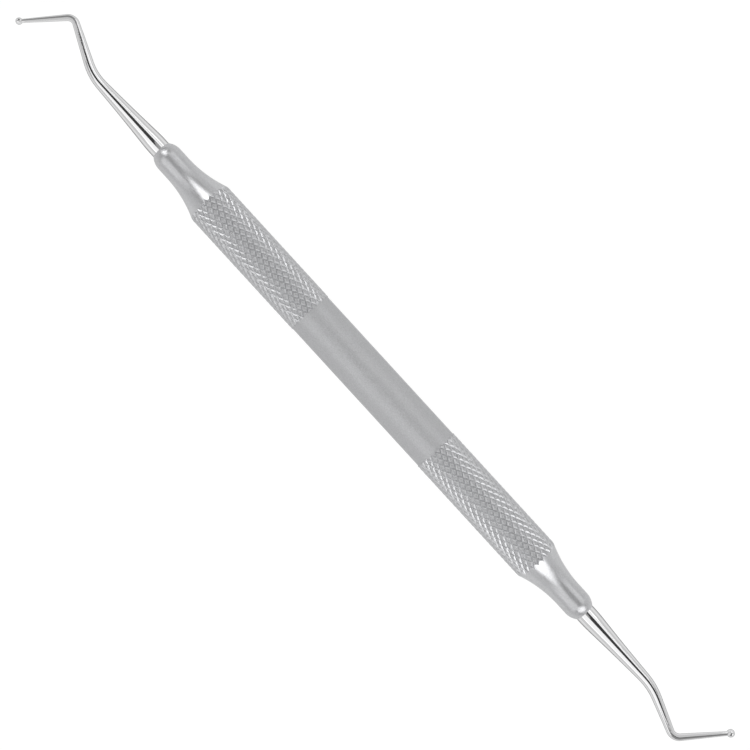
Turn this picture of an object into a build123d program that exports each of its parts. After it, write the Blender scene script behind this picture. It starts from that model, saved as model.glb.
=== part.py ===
from build123d import *
from math import ceil, cos, pi, radians, sin, sqrt, tan
import os

# Dental burnisher with two ends, in millimetres, lying on a table.
# The origin is in the middle of the handle, on its axis. +X runs along the handle to the
# large ball, and both ends are bent in the XY plane.
# A turned and knurled steel handle holds a polished, tapered working end in a socket at
# each nose. The ends bend to opposite sides, and each one stops in a small ball.

# Handle, from its middle outwards
waist_diameter = 8.0
waist_length = 31.4
knurl_length = 25.1
knurl_rise = 0.1
knurl_depth = 0.28
knurl_starts = 24
knurl_angle = 30.5
flare_radius = 21.5
neck_wall = 0.74
neck_length = 2.03
nose_length = 2.03
nose_rim = 0.03

# Tangs of the working ends and their sockets
end_diameter = 3.5
tang_length = 13.0
tang_chamfer = 0.4
fit_clearance = 0.01
drill_angle = 118.0

# What the two working ends have in common
collar_length = 0.8
shoulder_radius = 30.0
shoulder_angle = 4.2
cone_tip_diameter = 1.93

# Small ball end, on the -X side, from the nose outwards
small_cone_length = 15.0
small_bend_angle = 24.8
small_bend_radius = 10.0
small_middle_length = 7.0
small_elbow_angle = 76.5
small_elbow_radius = 1.5
small_terminal_length = 8.16
small_shank_tip_diameter = 0.62
small_ball_diameter = 1.2

# Large ball end, on the +X side, from the nose outwards
large_cone_length = 14.75
large_bend_angle = 20.4
large_bend_radius = 12.2
large_middle_length = 6.05
large_elbow_angle = 72.4
large_elbow_radius = 1.7
large_terminal_length = 8.55
large_shank_tip_diameter = 0.72
large_ball_diameter = 1.38

# Radii of the handle and stations along it
waist_r = waist_diameter / 2
crest_r = waist_r + knurl_rise
groove_r = crest_r - knurl_depth
stock_r = crest_r + knurl_rise
socket_r = end_diameter / 2 + fit_clearance
neck_r = socket_r + neck_wall
mouth_r = socket_r + nose_rim


def flare_run(r):
    """Distance along the handle from where the flare has radius r to the neck."""
    return sqrt(flare_radius**2 - (flare_radius + neck_r - r) ** 2)


knurl_start = waist_length / 2
flare_end = knurl_start + knurl_length + flare_run(crest_r)
neck_end = flare_end + neck_length
nose_end = neck_end + nose_length
socket_floor = nose_end - tang_length
drill_point = socket_r / tan(radians(drill_angle / 2))

# Turned blank: the outline of one half with its socket, mirrored and spun about the axis.
# The stock under the knurl is still a little oversize.
with BuildPart() as blank:
    with BuildSketch(Plane.XZ) as half_section:
        with BuildLine() as outline:
            flare_top = (flare_end - flare_run(stock_r), stock_r)
            Polyline((0, 0), (0, waist_r), (knurl_start, waist_r), (knurl_start, stock_r), flare_top)
            TangentArc((flare_end, neck_r), flare_top, tangent=(-1, 0))
            Line((flare_end, neck_r), (neck_end, neck_r))
            TangentArc((neck_end, neck_r), (nose_end, mouth_r), tangent=(1, 0))
            Polyline((nose_end, mouth_r), (nose_end, 0), (0, 0))
        make_face()
        with BuildLine() as socket_outline:
            Polyline(
                (nose_end, 0),
                (nose_end, socket_r),
                (socket_floor, socket_r),
                (socket_floor - drill_point, 0),
                close=True,
            )
        make_face(mode=Mode.SUBTRACT)
        mirror(about=Plane.YZ)
    revolve(axis=Axis.X)

# Diamond knurl: two sets of grooves cross at equal and opposite angles. Their crossings and
# the tops of the diamonds between them form a checkerboard lattice round the axis, which is
# half a pitch apart both ways. The lattice starts one row before the knurl, and ends where
# the grooves have run out on the flare.
knurl_pitch = 2 * pi * crest_r / knurl_starts / tan(radians(knurl_angle))
row_step = knurl_pitch / 2
columns = 2 * knurl_starts
cut_length = knurl_length + flare_run(crest_r) - flare_run(groove_r) + row_step
rows = ceil(cut_length / row_step) + 2


def lattice_point(row, column):
    """Top of a diamond on every other point, and a crossing of two grooves on the rest."""
    r = crest_r if (row + column) % 2 == 0 else groove_r
    turn = radians(360 / columns * (column + 0.5) - 90)
    return Vector(knurl_start + (row - 1) * row_step, r * cos(turn), r * sin(turn))


def lattice_cell(row, column):
    """Two facets that meet along the groove between one diamond and the next."""
    corners = [
        lattice_point(row, column),
        lattice_point(row + 1, column),
        lattice_point(row + 1, column + 1),
        lattice_point(row, column + 1),
    ]
    first_crest = (row + column) % 2
    crests = corners[first_crest::2]
    crossings = corners[1 - first_crest :: 2]
    return [Face(Wire.make_polygon((crest, *crossings))) for crest in crests]


def lattice_end(row):
    """Flat star that closes the knurled form at one of its rows."""
    return Face(Wire.make_polygon([lattice_point(row, column) for column in range(columns)]))


facets = [lattice_end(0), lattice_end(rows)]
for row in range(rows):
    for column in range(columns):
        facets += lattice_cell(row, column)
knurled_form = Solid(Shell(facets))

# Metal that the knurling takes off one side: a sleeve round the knurled form
with BuildPart() as knurl_waste:
    with BuildSketch(Plane.YZ.offset(knurl_start)) as sleeve:
        Circle(2 * stock_r)
        Circle(groove_r / 2, mode=Mode.SUBTRACT)
    extrude(amount=cut_length)
    add(knurled_form, mode=Mode.SUBTRACT, clean=False)

with BuildPart() as handle:
    add(blank.part)
    add([knurl_waste.part, knurl_waste.part.mirror(Plane.YZ)], mode=Mode.SUBTRACT, clean=False)

handle.part.label = "handle"


def working_end(
    side,
    cone_length,
    bend_angle,
    bend_radius,
    middle_length,
    elbow_angle,
    elbow_radius,
    terminal_length,
    shank_tip_diameter,
    ball_diameter,
):
    """Tang, cone, gentle bend, elbow, terminal shank and ball, on one side of the handle.

    side is a plane at the origin whose X axis points out along the handle. The gentle bend
    turns to its -Y side, and the elbow turns back across the axis.
    """
    bend_start = nose_end + cone_length
    tang_r = end_diameter / 2
    with BuildPart() as end:
        # Tang and cone, turned about the handle's axis
        with BuildSketch(side) as turned_section:
            with BuildLine() as turned_outline:
                Polyline(
                    (bend_start, cone_tip_diameter / 2),
                    (bend_start, 0),
                    (socket_floor, 0),
                    (socket_floor, tang_r - tang_chamfer),
                    (socket_floor + tang_chamfer, tang_r),
                    (nose_end + collar_length, tang_r),
                )
                shoulder = JernArc(
                    start=(nose_end + collar_length, tang_r),
                    tangent=(1, 0),
                    radius=shoulder_radius,
                    arc_size=-shoulder_angle,
                )
                TangentArc(shoulder @ 1, (bend_start, cone_tip_diameter / 2), tangent=shoulder % 1)
            make_face()
        revolve(axis=Axis(side.origin, side.x_dir))

        # Bent shank, tapering evenly along its centre line
        with BuildLine(side) as centre_line:
            bend = JernArc(start=(bend_start, 0), tangent=(1, 0), radius=bend_radius, arc_size=-bend_angle)
            middle = Line(bend @ 1, bend @ 1 + (bend % 1) * middle_length)
            elbow = JernArc(start=middle @ 1, tangent=middle % 1, radius=elbow_radius, arc_size=elbow_angle)
            terminal = Line(elbow @ 1, elbow @ 1 + (elbow % 1) * terminal_length)
        with BuildSketch(Plane(bend @ 0, z_dir=bend % 0)) as shank_root:
            Circle(cone_tip_diameter / 2)
        with BuildSketch(Plane(terminal @ 1, z_dir=terminal % 1)) as shank_tip:
            Circle(shank_tip_diameter / 2)
        sweep(path=centre_line.wire(), multisection=True)

        with Locations(terminal @ 1):
            Sphere(ball_diameter / 2)
    return end


small_ball_end = working_end(
    side=Plane((0, 0, 0), x_dir=(-1, 0, 0), z_dir=(0, 0, 1)),
    cone_length=small_cone_length,
    bend_angle=small_bend_angle,
    bend_radius=small_bend_radius,
    middle_length=small_middle_length,
    elbow_angle=small_elbow_angle,
    elbow_radius=small_elbow_radius,
    terminal_length=small_terminal_length,
    shank_tip_diameter=small_shank_tip_diameter,
    ball_diameter=small_ball_diameter,
)
small_ball_end.part.label = "small_ball_end"

large_ball_end = working_end(
    side=Plane.XY,
    cone_length=large_cone_length,
    bend_angle=large_bend_angle,
    bend_radius=large_bend_radius,
    middle_length=large_middle_length,
    elbow_angle=large_elbow_angle,
    elbow_radius=large_elbow_radius,
    terminal_length=large_terminal_length,
    shank_tip_diameter=large_shank_tip_diameter,
    ball_diameter=large_ball_diameter,
)
large_ball_end.part.label = "large_ball_end"

os.makedirs("parts", exist_ok=True)
export_step(handle.part, "parts/handle.step")
export_step(small_ball_end.part, "parts/small_ball_end.step")
export_step(large_ball_end.part, "parts/large_ball_end.step")

for piece in (handle, small_ball_end, large_ball_end):
    size = piece.part.bounding_box().size
    print(piece.part.label, f"{piece.part.volume:.1f} mm3", f"{size.X:.2f} x {size.Y:.2f} x {size.Z:.2f} mm")
print("handle", f"{2 * nose_end:.2f} mm long, knurl pitch {knurl_pitch:.3f} mm, {rows} rows")
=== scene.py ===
# %% [markdown]
# # A dental burnisher in satin and polished steel
#
# A burnisher smooths a fresh filling. This one has a small ball on each end. Its handle is turned
# from one steel bar, with a plain waist in the middle, a band of diamond knurl on each side of it
# and a flare that runs down to a slim neck. A polished, tapered working end is pressed into each
# nose of the handle, and it is bent twice before it stops in its ball.
#
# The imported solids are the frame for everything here, so they are loaded first. Blender adds the
# fine form of the knurl, round surfaces without facets, and the finish of the two steels.

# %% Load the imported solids
import math

import bpy
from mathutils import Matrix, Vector


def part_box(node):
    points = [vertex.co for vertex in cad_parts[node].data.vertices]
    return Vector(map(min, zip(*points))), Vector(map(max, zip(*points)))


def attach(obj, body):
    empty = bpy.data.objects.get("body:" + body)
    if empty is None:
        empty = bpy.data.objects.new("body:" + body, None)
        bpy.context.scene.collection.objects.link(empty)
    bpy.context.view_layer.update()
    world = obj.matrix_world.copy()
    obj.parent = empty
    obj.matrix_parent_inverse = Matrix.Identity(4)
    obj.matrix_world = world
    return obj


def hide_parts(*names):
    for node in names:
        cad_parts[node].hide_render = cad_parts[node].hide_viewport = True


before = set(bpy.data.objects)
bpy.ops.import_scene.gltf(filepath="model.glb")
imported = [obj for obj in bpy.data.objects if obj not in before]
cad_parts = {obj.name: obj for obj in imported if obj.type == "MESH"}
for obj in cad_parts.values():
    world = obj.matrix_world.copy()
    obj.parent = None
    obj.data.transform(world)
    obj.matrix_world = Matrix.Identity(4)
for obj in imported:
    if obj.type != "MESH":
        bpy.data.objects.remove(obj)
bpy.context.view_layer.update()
print("packed nodes:", sorted(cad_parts))

# %% [markdown]
# ## Sizes
#
# Blender counts in metres and a toolmaker counts in millimetres, so every size is written in
# millimetres and multiplied by `MM`. The largest radius of the handle and the place of its nose
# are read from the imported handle, whose nearest knurl crests lie a quarter of a diamond off the
# Y axis. The other sizes are the ones that a toolmaker would set by hand.

# %% Sizes of the handle
MM = 0.001
knurl_starts = 24
_, handle_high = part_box("handle")
nose_end = handle_high.x
crest_radius = handle_high.y / math.cos(math.pi / (2 * knurl_starts))

waist_radius = 4.0 * MM
waist_length = 31.4 * MM
knurl_length = 25.1 * MM
flare_radius = 21.5 * MM
neck_length = 2.03 * MM
nose_length = 2.03 * MM
socket_radius = 1.76 * MM
neck_wall = 0.74 * MM
nose_rim = 0.03 * MM
tang_length = 13.0 * MM
drill_angle = math.radians(118)

neck_radius = socket_radius + neck_wall
mouth_radius = socket_radius + nose_rim
neck_end = nose_end - nose_length
flare_end = neck_end - neck_length
knurl_start = waist_length / 2
socket_floor = nose_end - tang_length
print(f"handle: {2 * nose_end / MM:.2f} mm long, {2 * crest_radius / MM:.2f} mm over the knurl")

# %% [markdown]
# ## Camera
#
# The instrument lies on a pale table and is seen from straight above, so the camera looks down
# the Z axis. It is turned about Z until the handle runs from the upper left of the picture to the
# lower right. The lens follows from the width that the picture shows at the height of the axis.

# %% Camera over the table
camera_turn = math.radians(47.507)
camera_height = 270 * MM
camera_aim = Vector((-0.53, 0.98, 0)) * MM
picture_width = 126.98 * MM
sensor_width = 36

bpy.ops.object.camera_add(
    location=(camera_aim.x, camera_aim.y, camera_height),
    rotation=(0, 0, camera_turn),
)
camera = bpy.context.active_object
camera.name = "camera_over_table"
camera.data.sensor_width = sensor_width
camera.data.lens = sensor_width * camera_height / picture_width
camera.data.clip_start = 1 * MM
bpy.context.scene.camera = camera
print(f"lens: {camera.data.lens:.1f} mm")

# %% [markdown]
# ## A shorthand for shader nodes
#
# A material is a small program made of nodes. Written out, each sum takes four lines, so two
# small classes shorten it. A `Wire` is the output of a node, and arithmetic on it adds Math
# nodes. A `NodeBoard` is a node tree. Its method `put` fills sockets, and `node` adds any node.

# %% Wires that add up
class Wire:
    """The output of a node, on which +, -, * and / add Math nodes."""

    def __init__(self, board, socket):
        self.board = board
        self.socket = socket

    def math(self, operation, first, second):
        return self.board.node("ShaderNodeMath", {"operation": operation}, {0: first, 1: second})

    def __add__(self, other):
        return self.math("ADD", self, other)

    def __radd__(self, other):
        return self.math("ADD", other, self)

    def __sub__(self, other):
        return self.math("SUBTRACT", self, other)

    def __rsub__(self, other):
        return self.math("SUBTRACT", other, self)

    def __mul__(self, other):
        return self.math("MULTIPLY", self, other)

    def __rmul__(self, other):
        return self.math("MULTIPLY", other, self)

    def __truediv__(self, other):
        return self.math("DIVIDE", self, other)

    def __pow__(self, other):
        return self.math("POWER", self, other)

    def at_most(self, other):
        return self.math("MINIMUM", self, other)

    def at_least(self, other):
        return self.math("MAXIMUM", self, other)


print("a wire takes + - * / ** and has at_most and at_least")

# %% Node boards
class NodeBoard:
    """The node tree of a material or of the world."""

    def __init__(self, owner):
        owner.use_nodes = True
        self.nodes = owner.node_tree.nodes
        self.links = owner.node_tree.links

    def put(self, node, inputs):
        for name, value in inputs.items():
            if isinstance(value, Wire):
                self.links.new(value.socket, node.inputs[name])
            else:
                node.inputs[name].default_value = value

    def node(self, kind, settings=None, inputs=None, output=0):
        made = self.nodes.new(kind)
        for name, value in (settings or {}).items():
            if name == "stops":
                ramp = made.color_ramp.elements
                while len(ramp) < len(value):
                    ramp.new(1)
                for stop, (place, colour) in zip(ramp, value):
                    stop.position = place
                    stop.color = colour
            else:
                setattr(made, name, value)
        self.put(made, inputs or {})
        return Wire(self, made.outputs[output])


def new_finish(name):
    """A material with its node board and its Principled shader."""
    material = bpy.data.materials.new(name)
    board = NodeBoard(material)
    return material, board, board.nodes["Principled BSDF"]


print("a node board can put values on sockets and add a node")

# %% [markdown]
# ## Table and backdrop
#
# The table is one large plane just under the handle. Its shader is a mix of a plain matt white
# and a plain glow. The glow is seen only by the camera and in mirror reflections, so it makes the
# page white without lighting the steel, and the matt part keeps the soft shadow of the
# instrument.

# %% White table
table_size = 3.0
table_glow = 1.05
table_glow_share = 0.9
white = (1, 1, 1, 1)

bpy.ops.mesh.primitive_plane_add(size=table_size, location=(0, 0, -crest_radius))
table = bpy.context.active_object
table.name = "table"
bpy.ops.object.transform_apply(location=True, rotation=True, scale=True)


def seen_or_mirrored(board):
    """1 for a ray that comes from the camera, a mirror or glass, and 0 for other rays."""
    path = board.nodes.new("ShaderNodeLightPath")
    seen = Wire(board, path.outputs["Is Camera Ray"])
    seen = seen + Wire(board, path.outputs["Is Glossy Ray"])
    seen = seen + Wire(board, path.outputs["Is Transmission Ray"])
    return seen.at_most(1)


table_white, board, matt = new_finish("table_white")
board.put(matt, {"Base Color": (0.9, 0.9, 0.9, 1), "Roughness": 0.9, "Specular IOR Level": 0.0})
glow = board.node("ShaderNodeEmission", {}, {"Color": white, "Strength": table_glow})
lit = board.node(
    "ShaderNodeMixShader",
    {},
    {0: seen_or_mirrored(board) * table_glow_share, 1: Wire(board, matt.outputs[0]), 2: glow},
)
board.put(board.nodes["Material Output"], {"Surface": lit})
table.data.materials.append(table_white)
print(f"table at {-crest_radius / MM:.2f} mm")

# %% [markdown]
# ## Room beyond the table
#
# The world is what the steel mirrors past the table and between the lamps: pale walls up to a
# certain height, and a dark ceiling above them. The camera sees plain white instead of it.

# %% Walls and dark ceiling
wall_level = 0.8
gap_level = 0.06
wall_top = 0.45
gap_edge = 0.68

room = bpy.data.worlds.new("room")
bpy.context.scene.world = room
board = NodeBoard(room)
direction = board.node("ShaderNodeTexCoord", {}, {}, output="Generated")
split = board.nodes.new("ShaderNodeSeparateXYZ")
board.put(split, {0: direction})
walls, gap = [(level, level, level, 1) for level in (wall_level, gap_level)]
shade = board.node(
    "ShaderNodeValToRGB",
    {"stops": [(wall_top, walls), (gap_edge, gap)]},
    {0: Wire(board, split.outputs["Z"])},
)
path = board.nodes.new("ShaderNodeLightPath")
from_camera = Wire(board, path.outputs["Is Camera Ray"])
shaded_room = board.node("ShaderNodeBackground", {}, {"Color": shade, "Strength": 1.0})
white_room = board.node("ShaderNodeBackground", {}, {"Color": white, "Strength": 1.0})
seen_room = board.node("ShaderNodeMixShader", {}, {0: from_camera, 1: shaded_room, 2: white_room})
board.put(board.nodes["World Output"], {"Surface": seen_room})
print(f"room: walls {wall_level}, dark gap overhead {gap_level}")

# %% [markdown]
# ## Studio light
#
# Polished steel is a mirror, so what it shows is the lamps. Flat softboxes hang over the table,
# and each one is given by the stretch of ceiling that it fills. Long strips light the instrument
# from both sides. The gap between them is the black line down the middle of each shank, and a
# panel closes most of that gap over the handle, so that the waist stays even. A stronger oval
# lamp hangs beyond each end, and a narrow lamp that is nearly as strong hangs between it and the
# panel. The flares face outwards, so they mirror these strong lamps as a bright wedge.

# %% Softboxes and end lamps
ceiling_height = 250 * MM
strip_turn = math.radians(8)


def turned(x, y, angle):
    """Where x and y come to when they are turned about the origin."""
    return x * math.cos(angle) - y * math.sin(angle), x * math.sin(angle) + y * math.cos(angle)


def softbox(name, shape, x, y, turn, level):
    """A flat lamp that faces down from the ceiling. x and y say where it starts and ends, in
    millimetres. It looks as bright as level and is turned about the zenith."""
    lamp = bpy.data.lights.new(name, "AREA")
    lamp.shape = shape
    lamp.size = (x[1] - x[0]) * MM
    lamp.size_y = (y[1] - y[0]) * MM
    area = lamp.size * lamp.size_y * (math.pi / 4 if shape == "ELLIPSE" else 1)
    lamp.energy = level * math.pi * area
    placed = bpy.data.objects.new(name, lamp)
    bpy.context.scene.collection.objects.link(placed)
    middle_x, middle_y = (x[0] + x[1]) / 2 * MM, (y[0] + y[1]) / 2 * MM
    placed.location = (*turned(middle_x, middle_y, turn), ceiling_height)
    placed.rotation_euler = (0, 0, turn)


softbox("strip_lower", "RECTANGLE", x=(-260, 172), y=(-430, -46), turn=strip_turn, level=1.2)
softbox("strip_upper", "RECTANGLE", x=(-160, 260), y=(122, 240), turn=strip_turn, level=1.2)
softbox("strip_upper_far", "RECTANGLE", x=(-160, 260), y=(256, 470), turn=strip_turn, level=1.2)
softbox("panel_over_handle", "RECTANGLE", x=(-110, 110), y=(-38, 114), turn=strip_turn, level=0.38)
softbox("end_lamp_left", "ELLIPSE", x=(-620, -195), y=(-65, 165), turn=0, level=3.0)
softbox("end_lamp_right", "ELLIPSE", x=(195, 620), y=(-220, 190), turn=0, level=2.6)
softbox("wedge_lamp_left", "RECTANGLE", x=(-215, -176), y=(-30, 92), turn=0, level=2.6)
softbox("wedge_lamp_right", "RECTANGLE", x=(176, 215), y=(-85, 28), turn=0, level=2.4)

# %% [markdown]
# ## Scrims and veils
#
# The last stretch of each working end lies across the lamps, and it would mirror the strong ones
# as a plain white sheet. A photographer holds grey cloths in their way, and so does the scene.
# Each cloth is a small plane that the camera can't see, with a plain glow of the grey that the
# steel has to mirror. The dark scrims hang further out, and the small, light veils hang low over
# the other side of the same stretch.

# %% Two scrims and two veils
toward_lamp = math.radians(141.7)
away_from_lamp = toward_lamp - math.pi


def scrim(name, foot, turn, length, width, height, level):
    """A grey cloth, unseen by the camera, that starts over foot and runs out at the angle turn.
    Its foot and sizes are in millimetres, and it glows as bright as level."""
    bpy.ops.mesh.primitive_plane_add(size=1)
    cloth = bpy.context.active_object
    cloth.name = name
    cloth.dimensions = (length * MM, width * MM, 0)
    cloth.rotation_euler = (0, 0, turn)
    middle = Vector(foot) + length / 2 * Vector((math.cos(turn), math.sin(turn)))
    cloth.location = Vector((*middle, height)) * MM
    bpy.ops.object.transform_apply(location=True, rotation=True, scale=True)
    cloth.visible_camera = False
    weave, board, _ = new_finish(name)
    glow = board.node("ShaderNodeEmission", {}, {"Color": white, "Strength": level})
    board.put(board.nodes["Material Output"], {"Surface": glow})
    cloth.data.materials.append(weave)


dark_cloth = {"length": 60, "width": 40, "height": 20, "level": 0.32}
light_cloth = {"length": 7.5, "width": 9, "height": 4, "level": 0.75}
scrim("scrim_left", (-88, 0), toward_lamp, **dark_cloth)
scrim("scrim_right", (88, 0), away_from_lamp, **dark_cloth)
scrim("veil_left", (-83.4, 0.15), away_from_lamp, **light_cloth)
scrim("veil_right", (82.2, 1.25), toward_lamp, **light_cloth)

# %% [markdown]
# ## Turned blank of the handle
#
# On the bench the handle starts as a round bar in a lathe. Here the lathe is the Spin tool: one
# half of the outline is drawn as a chain of edges above the axis, and Spin turns it round the
# axis. The chain starts from a single vertex, because a pen is the easiest way to draw arcs:
# extruding the last vertex draws a straight stretch, and spinning it draws an arc. The stock
# under the knurl stays a little oversize, because knurling takes it off later.

# %% Start a mesh
def start_mesh(name, add_primitive):
    """Adds a primitive with nothing else selected, and enters edit mode with it at the origin."""
    bpy.ops.object.select_all(action="DESELECT")
    add_primitive()
    piece = bpy.context.active_object
    piece.name = name
    piece.data.name = name
    bpy.ops.object.transform_apply(location=True, rotation=True, scale=True)
    bpy.ops.object.mode_set(mode="EDIT")
    return piece


print("start_mesh leaves a new piece in edit mode at the origin")

# %% A pen for outlines
class OutlinePen:
    """Draws an outline in the XZ plane, from one vertex, as a chain of edges."""

    def __init__(self, name, x, z):
        self.tip = Vector((x, 0, z))
        self.piece = start_mesh(
            name, lambda: bpy.ops.mesh.primitive_plane_add(size=MM, location=self.tip)
        )
        bpy.ops.mesh.merge(type="CENTER")

    def line(self, x, z):
        step = Vector((x, 0, z)) - self.tip
        bpy.ops.mesh.extrude_region_move(TRANSFORM_OT_translate={"value": step})
        self.tip = Vector((x, 0, z))

    def arc(self, x, z, centre_x, centre_z, steps):
        centre = Vector((centre_x, 0, centre_z))
        end = Vector((x, 0, z))
        before, after = self.tip - centre, end - centre
        turn = before.angle(after)
        axis = (0, math.copysign(1, before.x * after.z - before.z * after.x), 0)
        bpy.ops.mesh.spin(steps=steps, angle=turn, center=centre, axis=axis)
        self.tip = end


print("the outline pen draws a line or an arc")

# %% Draw half the outline of the blank
stock_allowance = 0.1 * MM
stock_radius = crest_radius + stock_allowance
flare_steps = 22
nose_steps = 12

flare_run = math.sqrt(flare_radius**2 - (flare_radius + neck_radius - stock_radius) ** 2)
nose_drop = neck_radius - mouth_radius
nose_radius = (nose_length**2 + nose_drop**2) / (2 * nose_drop)
drill_depth = socket_radius / math.tan(drill_angle / 2)

pen = OutlinePen("handle_satin", 0, waist_radius)
pen.line(knurl_start, waist_radius)
pen.line(knurl_start, stock_radius)
pen.line(flare_end - flare_run, stock_radius)
pen.arc(flare_end, neck_radius, flare_end, neck_radius + flare_radius, flare_steps)
pen.line(neck_end, neck_radius)
pen.arc(nose_end, mouth_radius, neck_end, neck_radius - nose_radius, nose_steps)
pen.line(nose_end, socket_radius)
pen.line(socket_floor, socket_radius)
pen.line(socket_floor - drill_depth, 0)
handle = pen.piece
print("the outline ends at", [round(value / MM, 2) for value in pen.tip])

# %% Spin it and mirror the other half
lathe_steps = 192
same_place = 0.0005 * MM

bpy.ops.mesh.select_all(action="SELECT")
bpy.ops.mesh.spin(steps=lathe_steps, angle=2 * math.pi, center=(0, 0, 0), axis=(1, 0, 0))
bpy.ops.mesh.select_all(action="SELECT")
bpy.ops.mesh.remove_doubles(threshold=same_place)
bpy.ops.object.mode_set(mode="OBJECT")

mirror = handle.modifiers.new("other_half", "MIRROR")
mirror.merge_threshold = same_place
bpy.ops.object.modifier_apply(modifier=mirror.name)
bpy.ops.object.mode_set(mode="EDIT")
bpy.ops.mesh.select_all(action="SELECT")
bpy.ops.mesh.normals_make_consistent(inside=False)
bpy.ops.object.mode_set(mode="OBJECT")
print(f"blank: {len(handle.data.polygons)} faces")

# %% [markdown]
# ## Diamond knurl
#
# A knurl is two sets of grooves that cross at equal and opposite angles, and what is left between
# them is a field of small diamonds. One diamond is modelled flat and copied by Array modifiers,
# and the flat sheet is bent into a ring by a Simple Deform modifier. That keeps every diamond
# alike and lets the last one meet the first. The ring then gets an outer wall, which makes it the
# metal that knurling removes, and a Boolean takes it off the blank. The grooves run out on the
# flare by themselves, and leave the serrated edge of the real one.

# %% One diamond
knurl_angle = math.radians(30.5)
groove_floor = 0.015 * MM
wall_widths = [width * MM for width in (0.03, 0.18, 0.07, 0.05)]
wall_slopes = [math.radians(slope) for slope in (44, 38, 24, 11)]
crest_edge = 0.02 * MM
groove_depth = sum(width * math.tan(slope) for width, slope in zip(wall_widths, wall_slopes))

around_pitch = 2 * math.pi * crest_radius / knurl_starts
along_pitch = around_pitch / math.tan(knurl_angle)
first_diamond = Vector((knurl_start - along_pitch, groove_depth, around_pitch / 4))

sleeve = start_mesh(
    "knurl_waste",
    lambda: bpy.ops.mesh.primitive_circle_add(
        vertices=4,
        radius=around_pitch / 2,
        fill_type="NGON",
        location=first_diamond,
        rotation=(math.pi / 2, 0, 0),
    ),
)
bpy.ops.transform.resize(value=(along_pitch / around_pitch, 1, 1), center_override=first_diamond)
bpy.ops.mesh.inset(thickness=groove_floor, depth=0)
for width, slope in zip(wall_widths, wall_slopes):
    bpy.ops.mesh.inset(thickness=width, depth=width * math.tan(slope))
bpy.ops.mesh.inset(thickness=crest_edge, depth=0)
bpy.ops.mesh.poke()
bpy.ops.object.mode_set(mode="OBJECT")
diamond_faces = len(sleeve.data.polygons)
print(f"diamond: {around_pitch / MM:.3f} by {along_pitch / MM:.3f} mm, {diamond_faces} faces")

# %% A flat sheet of diamonds
groove_bottom = crest_radius - groove_depth
groove_run = math.sqrt(flare_radius**2 - (flare_radius + neck_radius - groove_bottom) ** 2)
run_out_spare = 0.5 * MM
knurl_reach = flare_end - groove_run + run_out_spare - knurl_start
rows = math.ceil(knurl_reach / along_pitch)
rows_to_trim = 2


def repeat(piece, count, offset):
    """Copies a mesh count times, each copy one offset further, and joins what touches."""
    copies = piece.modifiers.new("copies", "ARRAY")
    copies.count = count
    copies.use_relative_offset = False
    copies.use_constant_offset = True
    copies.constant_offset_displace = offset
    copies.use_merge_vertices = True
    copies.merge_threshold = same_place
    bpy.ops.object.modifier_apply(modifier=copies.name)


repeat(sleeve, 2, (along_pitch / 2, 0, around_pitch / 2))
repeat(sleeve, rows + rows_to_trim, (along_pitch, 0, 0))
repeat(sleeve, knurl_starts, (0, 0, around_pitch))

heights = [vertex.co.z for vertex in sleeve.data.vertices]
sheet_width = max(heights) - min(heights)
print(f"knurl: {rows} rows of {knurl_starts} diamonds, sheet {sheet_width / MM:.2f} mm wide")

# %% Bend the sheet into a ring
bend = sleeve.modifiers.new("bend", "SIMPLE_DEFORM")
bend.deform_method = "BEND"
bend.deform_axis = "X"
bend.angle = 2 * math.pi * sheet_width / (knurl_starts * around_pitch)
bpy.ops.object.modifier_apply(modifier=bend.name)

bpy.ops.object.mode_set(mode="EDIT")
bpy.ops.mesh.select_all(action="SELECT")
bpy.ops.transform.translate(value=(0, -crest_radius, 0))
bpy.ops.mesh.remove_doubles(threshold=same_place)
print(f"ring: {crest_radius / MM:.3f} mm in radius at the crests")

# %% Trim the ring at both ends
overcut = 0.02 * MM
trim_start = knurl_start - overcut
trim_end = trim_start + rows * along_pitch

straight_cut = {"plane_no": (1, 0, 0), "threshold": same_place}

bpy.ops.mesh.bisect(plane_co=(trim_start, 0, 0), clear_inner=True, **straight_cut)
bpy.ops.mesh.select_all(action="SELECT")
bpy.ops.mesh.bisect(plane_co=(trim_end, 0, 0), clear_outer=True, **straight_cut)
bpy.ops.mesh.select_all(action="SELECT")
bpy.ops.mesh.remove_doubles(threshold=same_place)
print(f"trimmed from {trim_start / MM:.2f} to {trim_end / MM:.2f} mm")

# %% Close the ring into a sleeve
outer_scale = 1.2

bpy.ops.mesh.select_all(action="DESELECT")
bpy.ops.mesh.select_mode(type="EDGE")
bpy.ops.mesh.select_non_manifold()
bpy.ops.mesh.extrude_edges_move()
bpy.ops.transform.resize(value=(1, outer_scale, outer_scale), center_override=(0, 0, 0))
bpy.ops.mesh.bridge_edge_loops()
bpy.ops.mesh.select_mode(type="VERT")
bpy.ops.mesh.select_all(action="SELECT")
bpy.ops.mesh.normals_make_consistent(inside=False)
bpy.ops.mesh.select_all(action="DESELECT")
bpy.ops.mesh.select_non_manifold()
bpy.ops.object.mode_set(mode="OBJECT")
print("open vertices left:", sum(vertex.select for vertex in sleeve.data.vertices))

# %% Mirror the sleeve to the other side
mirror = sleeve.modifiers.new("other_side", "MIRROR")
bpy.ops.object.modifier_apply(modifier=mirror.name)
bpy.ops.object.mode_set(mode="EDIT")
bpy.ops.mesh.select_all(action="SELECT")
bpy.ops.mesh.normals_make_consistent(inside=False)
bpy.ops.object.mode_set(mode="OBJECT")
print(f"sleeves: {len(sleeve.data.polygons)} faces")

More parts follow.
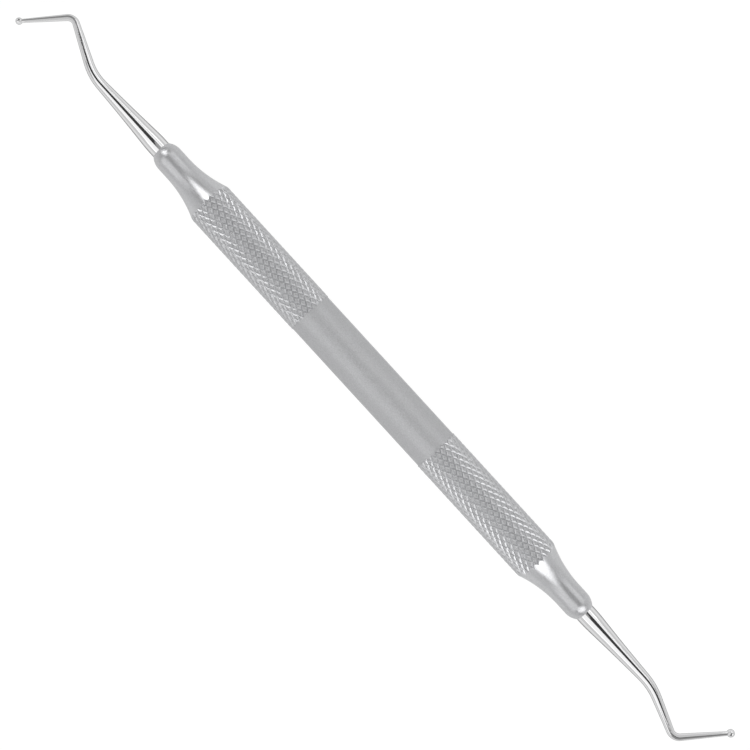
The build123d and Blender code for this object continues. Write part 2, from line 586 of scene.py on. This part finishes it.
# %% Knurl the blank
bpy.ops.object.select_all(action="DESELECT")
bpy.context.view_layer.objects.active = handle
handle.select_set(True)
knurling = handle.modifiers.new("knurling", "BOOLEAN")
knurling.operation = "DIFFERENCE"
knurling.solver = "EXACT"
knurling.object = sleeve
bpy.ops.object.modifier_apply(modifier=knurling.name)
bpy.data.objects.remove(sleeve)

smooth_angle = math.radians(22)
bpy.ops.object.shade_smooth_by_angle(angle=smooth_angle)
handle.data.calc_loop_triangles()
print(f"handle: {len(handle.data.loop_triangles)} triangles")

# %% [markdown]
# ## Working ends
#
# Each working end is one round rod that tapers, bends gently, turns back at a tight elbow and
# stops in a ball. A rod like that is drawn ring by ring: the last ring is extruded, moved on or
# turned about the centre of the bend, and scaled to its new radius. The straight tang in the
# socket is part of it, so the end is as long as the real one.

# %% A pen for round rods
class RodPen:
    """Draws a round rod from +X onwards. Its path stays in the XY plane."""

    ring_points = 64

    def __init__(self, name, x, radius):
        self.tip = Vector((x, 0, 0))
        self.ahead = Vector((1, 0, 0))
        self.radius = radius
        self.piece = start_mesh(
            name,
            lambda: bpy.ops.mesh.primitive_circle_add(
                vertices=self.ring_points,
                radius=radius,
                fill_type="NGON",
                location=self.tip,
                rotation=(0, math.pi / 2, 0),
            ),
        )
        bpy.ops.mesh.select_mode(type="FACE")

    def widen(self, radius):
        share = radius / self.radius
        bpy.ops.transform.resize(value=(share, share, share), center_override=self.tip)
        self.radius = radius

    def forward(self, distance, radius):
        step = self.ahead * distance
        bpy.ops.mesh.extrude_region_move(TRANSFORM_OT_translate={"value": step})
        self.tip += step
        self.widen(radius)

    def turn(self, angle, bend_radius, radius):
        """Goes round a bend to the left for a positive angle. transform.rotate turns the other way."""
        left = Vector((-self.ahead.y, self.ahead.x, 0))
        centre = self.tip + left * math.copysign(bend_radius, angle)
        bpy.ops.mesh.extrude_region_move(TRANSFORM_OT_translate={"value": (0, 0, 0)})
        bpy.ops.transform.rotate(value=-angle, orient_axis="Z", center_override=centre)
        arm = self.tip - centre
        self.tip = centre + Vector((*turned(arm.x, arm.y, angle), 0))
        self.ahead = Vector((*turned(self.ahead.x, self.ahead.y, angle), 0))
        self.widen(radius)


print(f"rod pen: rings of {RodPen.ring_points} points")

# %% Cone
end_radius = 1.75 * MM
collar_length = 0.8 * MM
shoulder_radius = 30.0 * MM
shoulder_angle = math.radians(4.2)
cone_tip_radius = 0.965 * MM
shoulder_steps = 4
cone_steps = 10


def draw_cone(pen, cone_length):
    """Collar, rounded shoulder and cone, whose side is an arc that flows on from the shoulder."""
    pen.forward(nose_end - pen.tip.x, end_radius)
    pen.forward(collar_length, end_radius)
    for step in range(1, shoulder_steps + 1):
        slope = shoulder_angle * step / shoulder_steps
        reach = nose_end + collar_length + shoulder_radius * math.sin(slope)
        pen.forward(reach - pen.tip.x, end_radius - shoulder_radius * (1 - math.cos(slope)))

    start_x, start_radius = pen.tip.x, pen.radius
    run = nose_end + cone_length - start_x
    drop = start_radius - cone_tip_radius
    chord = math.hypot(run, drop)
    turn = 2 * (math.atan2(drop, run) - shoulder_angle)
    side_radius = chord / (2 * math.sin(turn / 2))
    for step in range(1, cone_steps + 1):
        slope = shoulder_angle + turn * step / cone_steps
        along = side_radius * (math.sin(slope) - math.sin(shoulder_angle))
        down = side_radius * (math.cos(shoulder_angle) - math.cos(slope))
        pen.forward(start_x + along - pen.tip.x, start_radius - down)


print(f"cone: from {end_radius / MM:.2f} down to {cone_tip_radius / MM:.3f} mm in radius")

# %% Ball
ball_steps = 16


def draw_ball(pen, ball_radius):
    """Rings of a ball about the tip of the shank, closed at its pole."""
    neck_angle = math.asin(pen.radius / ball_radius)
    centre = pen.tip.copy()
    pole_angle = math.pi - math.pi / (2 * ball_steps)
    for step in range(ball_steps + 1):
        angle = neck_angle + (pole_angle - neck_angle) * step / ball_steps
        place = centre - pen.ahead * ball_radius * math.cos(angle)
        pen.forward((place - pen.tip).dot(pen.ahead), ball_radius * math.sin(angle))
    pen.forward((centre + pen.ahead * ball_radius - pen.tip).dot(pen.ahead), pen.radius)
    bpy.ops.mesh.merge(type="CENTER")


print(f"ball: {ball_steps} steps from its neck to its last ring")

# %% Whole working end
tang_chamfer = 0.4 * MM
straight_steps = 6
bend_steps = 12
elbow_steps = 18


def working_end(
    name,
    cone_length,
    bend,
    bend_radius,
    middle,
    elbow,
    elbow_radius,
    terminal,
    tip_radius,
    ball_radius,
):
    """Tang, cone, gentle bend, straight middle, elbow, terminal shank and ball."""
    pen = RodPen(name, socket_floor, end_radius - tang_chamfer)
    pen.forward(tang_chamfer, end_radius)
    draw_cone(pen, cone_length)

    length = bend_radius * bend + middle + elbow_radius * elbow + terminal
    taper = (cone_tip_radius - tip_radius) / length
    for _ in range(bend_steps):
        step = bend / bend_steps
        pen.turn(-step, bend_radius, pen.radius - taper * bend_radius * step)
    for _ in range(straight_steps):
        step = middle / straight_steps
        pen.forward(step, pen.radius - taper * step)
    for _ in range(elbow_steps):
        step = elbow / elbow_steps
        pen.turn(step, elbow_radius, pen.radius - taper * elbow_radius * step)
    for _ in range(straight_steps):
        step = terminal / straight_steps
        pen.forward(step, pen.radius - taper * step)
    draw_ball(pen, ball_radius)

    bpy.ops.mesh.select_mode(type="VERT")
    bpy.ops.mesh.select_all(action="SELECT")
    bpy.ops.mesh.remove_doubles(threshold=same_place)
    bpy.ops.mesh.normals_make_consistent(inside=False)
    return pen


print(f"bend in {bend_steps} steps, elbow in {elbow_steps}")

# %% [markdown]
# ## The two ends
#
# Both ends come from the same drawing with their own bends and balls. The large one is drawn where
# it belongs. The small one is drawn on the same side and then turned half round the Z axis, so
# that the two ends bend to opposite sides of the handle.

# %% Large ball end
large_end = working_end(
    "large_end_polished",
    cone_length=14.75 * MM,
    bend=math.radians(20.4),
    bend_radius=12.2 * MM,
    middle=6.05 * MM,
    elbow=math.radians(72.4),
    elbow_radius=1.7 * MM,
    terminal=8.55 * MM,
    tip_radius=0.36 * MM,
    ball_radius=0.69 * MM,
)
bpy.ops.object.mode_set(mode="OBJECT")
bpy.ops.object.shade_smooth_by_angle(angle=smooth_angle)
print("large ball at", [round(value / MM, 2) for value in large_end.tip])

# %% Small ball end
small_end = working_end(
    "small_end_polished",
    cone_length=15.0 * MM,
    bend=math.radians(24.8),
    bend_radius=10.0 * MM,
    middle=7.0 * MM,
    elbow=math.radians(76.5),
    elbow_radius=1.5 * MM,
    terminal=8.16 * MM,
    tip_radius=0.31 * MM,
    ball_radius=0.6 * MM,
)
bpy.ops.transform.rotate(value=math.pi, orient_axis="Z", center_override=(0, 0, 0))
bpy.ops.object.mode_set(mode="OBJECT")
bpy.ops.object.shade_smooth_by_angle(angle=smooth_angle)
print("small ball at", [round(-value / MM, 2) for value in small_end.tip])

# %% [markdown]
# ## Satin steel
#
# The handle has a fine turned finish. On the waist its marks run round the axis and are far too
# fine to see one by one, but they smear every reflection along the handle and leave it sharp
# across. So the bump reads only X, and its pattern is finer than a tenth of a millimetre. On the
# knurl the crests of the diamonds are dull, and the knurling wheel has pressed the walls of the
# grooves smoother and brighter. The flares are smooth enough to mirror the lamps. A fine grain
# runs over the whole handle, because a satin surface is never one even grey.

# %% Where the handle's finish changes
satin, board, steel = new_finish("satin_steel")
place = board.node("ShaderNodeTexCoord", {}, {}, output="Object")
split = board.nodes.new("ShaderNodeSeparateXYZ")
board.put(split, {0: place})
along, across, up = [Wire(board, split.outputs[axis]) for axis in "XYZ"]

off_middle = board.node("ShaderNodeMath", {"operation": "ABSOLUTE"}, {0: along})
knurl_end = knurl_start + knurl_length
zone_blend = 0.1 * MM
run_out_blend = 0.4 * MM
rub_depth = 0.005 * MM
rub_blend = 0.06 * MM
radius = (across * across + up * up) ** 0.5
burnished = ((crest_radius - rub_depth - radius) / rub_blend).at_least(0).at_most(1)


def by_zone(waist, knurl, flare, neck):
    """A value that changes from the waist to the knurl, the flare and the neck."""
    stops = [
        (knurl_start, waist),
        (knurl_start + zone_blend, knurl),
        (knurl_end, knurl),
        (knurl_end + run_out_blend, flare),
        (flare_end, neck),
    ]
    return board.node(
        "ShaderNodeValToRGB",
        {"stops": [(place / nose_end, (level, level, level, 1)) for place, level in stops]},
        {0: off_middle / nose_end},
    )


def finish(waist, crest, groove, flare, neck):
    """A value by zone, with the crests of the knurl apart from the walls of its grooves."""
    on_crest = by_zone(waist, crest, flare, neck)
    in_groove = by_zone(waist, groove, flare, neck)
    return on_crest * (1 - burnished) + in_groove * burnished


print("zones end at", [round(place / MM, 2) for place in (knurl_start, knurl_end, flare_end)])

# %% Satin steel for the handle
coarse_mark = 0.045 * MM
fine_mark = 0.028 * MM
mark_height = 0.0009 * MM
grain_size = 0.17 * MM
grain_contrast = 0.6
green_share = 1.005
blue_share = 1.025


def ripple(spacing):
    """Turning marks as a wave along the axis."""
    return board.node("ShaderNodeMath", {"operation": "SINE"}, {0: along * (2 * math.pi / spacing)})


marks = ripple(coarse_mark) + ripple(fine_mark)
marks = marks * by_zone(waist=0.7, knurl=0.0, flare=0.0, neck=0.0)
bump = board.node("ShaderNodeBump", {}, {"Strength": 1.0, "Distance": mark_height, "Height": marks})
grain = board.node(
    "ShaderNodeTexNoise", {}, {"Vector": place, "Scale": 1 / grain_size, "Detail": 2.0}
)
grey = finish(waist=0.435, crest=0.4, groove=0.52, flare=0.5, neck=0.47)
grey = grey * (1 + grain_contrast * (grain - 0.5))
tint = board.node(
    "ShaderNodeCombineColor",
    {},
    {"Red": grey, "Green": grey * green_share, "Blue": grey * blue_share},
)
board.put(
    steel,
    {
        "Base Color": tint,
        "Metallic": finish(waist=0.75, crest=0.75, groove=0.88, flare=0.8, neck=0.78),
        "Roughness": finish(waist=0.52, crest=0.5, groove=0.38, flare=0.285, neck=0.32),
        "Specular Tint": (0.8, 0.8, 0.8, 1),
        "Normal": bump,
    },
)
handle.data.materials.append(satin)
print(f"satin steel: {len(board.nodes)} nodes")

# %% [markdown]
# ## Polished steel
#
# The working ends are buffed to a mirror, because filling material must not stick to them. Almost
# all of their look is reflection, so the colour is plain and the roughness is low, with a trace
# of haze that changes from place to place.

# %% Polished steel for the working ends
polish_roughness = 0.04
haze_roughness = 0.04
haze_spots_per_metre = 900.0

polished, board, steel = new_finish("polished_steel")
place = board.node("ShaderNodeTexCoord", {}, {}, output="Object")
haze = board.node(
    "ShaderNodeTexNoise", {}, {"Vector": place, "Scale": haze_spots_per_metre, "Detail": 3.0}
)
board.put(
    steel,
    {
        "Base Color": (0.72, 0.72, 0.725, 1),
        "Metallic": 1.0,
        "Roughness": polish_roughness + haze * haze_roughness,
        "Specular Tint": (0.1, 0.1, 0.1, 1),
    },
)
for end in (large_end.piece, small_end.piece):
    end.data.materials.append(polished)
print(f"polished steel: {len(board.nodes)} nodes")

# %% [markdown]
# ## Each piece stands for its solid
#
# The pieces ride on the one body of the part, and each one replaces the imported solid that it
# refines. The last lines write down the box of what is seen beside the box of the solids.

# %% Hand the pieces over
for piece, node, slot in (
    (handle, "handle", "satin_steel"),
    (small_end.piece, "small_ball_end", "polished_steel"),
    (large_end.piece, "large_ball_end", "polished_steel"),
):
    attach(piece, "root")
    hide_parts(node)
    low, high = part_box(node)
    print(node, [round(value / MM, 3) for value in (*low, *high)])
    points = [vertex.co / MM for vertex in piece.data.vertices]
    lowest = [round(min(point[axis] for point in points), 3) for axis in range(3)]
    highest = [round(max(point[axis] for point in points), 3) for axis in range(3)]
    print(piece.name, lowest + highest)

# %% Picture settings
bpy.context.scene.view_settings.view_transform = "Standard"
